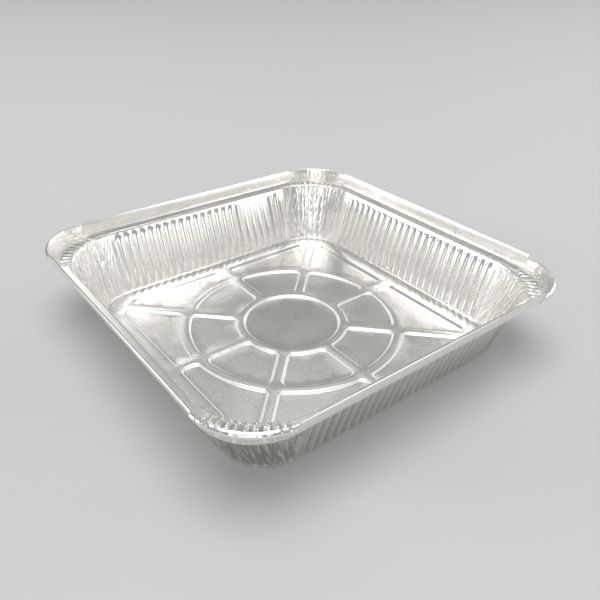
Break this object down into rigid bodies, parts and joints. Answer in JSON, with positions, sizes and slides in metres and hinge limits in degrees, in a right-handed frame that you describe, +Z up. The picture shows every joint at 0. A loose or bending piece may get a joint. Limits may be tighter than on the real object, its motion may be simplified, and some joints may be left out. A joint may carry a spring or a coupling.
{
  "type": "foil food container",
  "caption": "Square shallow food container pressed from one sheet of aluminium foil, with fluted walls, upright edge flaps and a pressed wheel pattern in its base.",
  "frame": {"origin": "centre of the square foot, on the plane that the container rests on", "axes": "+Z up out of the mouth, X and Y parallel to the container's sides"},
  "size_m": [0.234, 0.234, 0.0481],
  "materials": {
    "foil": "bright, finely grained from rolling"
  },
  "bodies": {
    "root": {"foil_tray": "foil"}
  },
  "joints": []
}
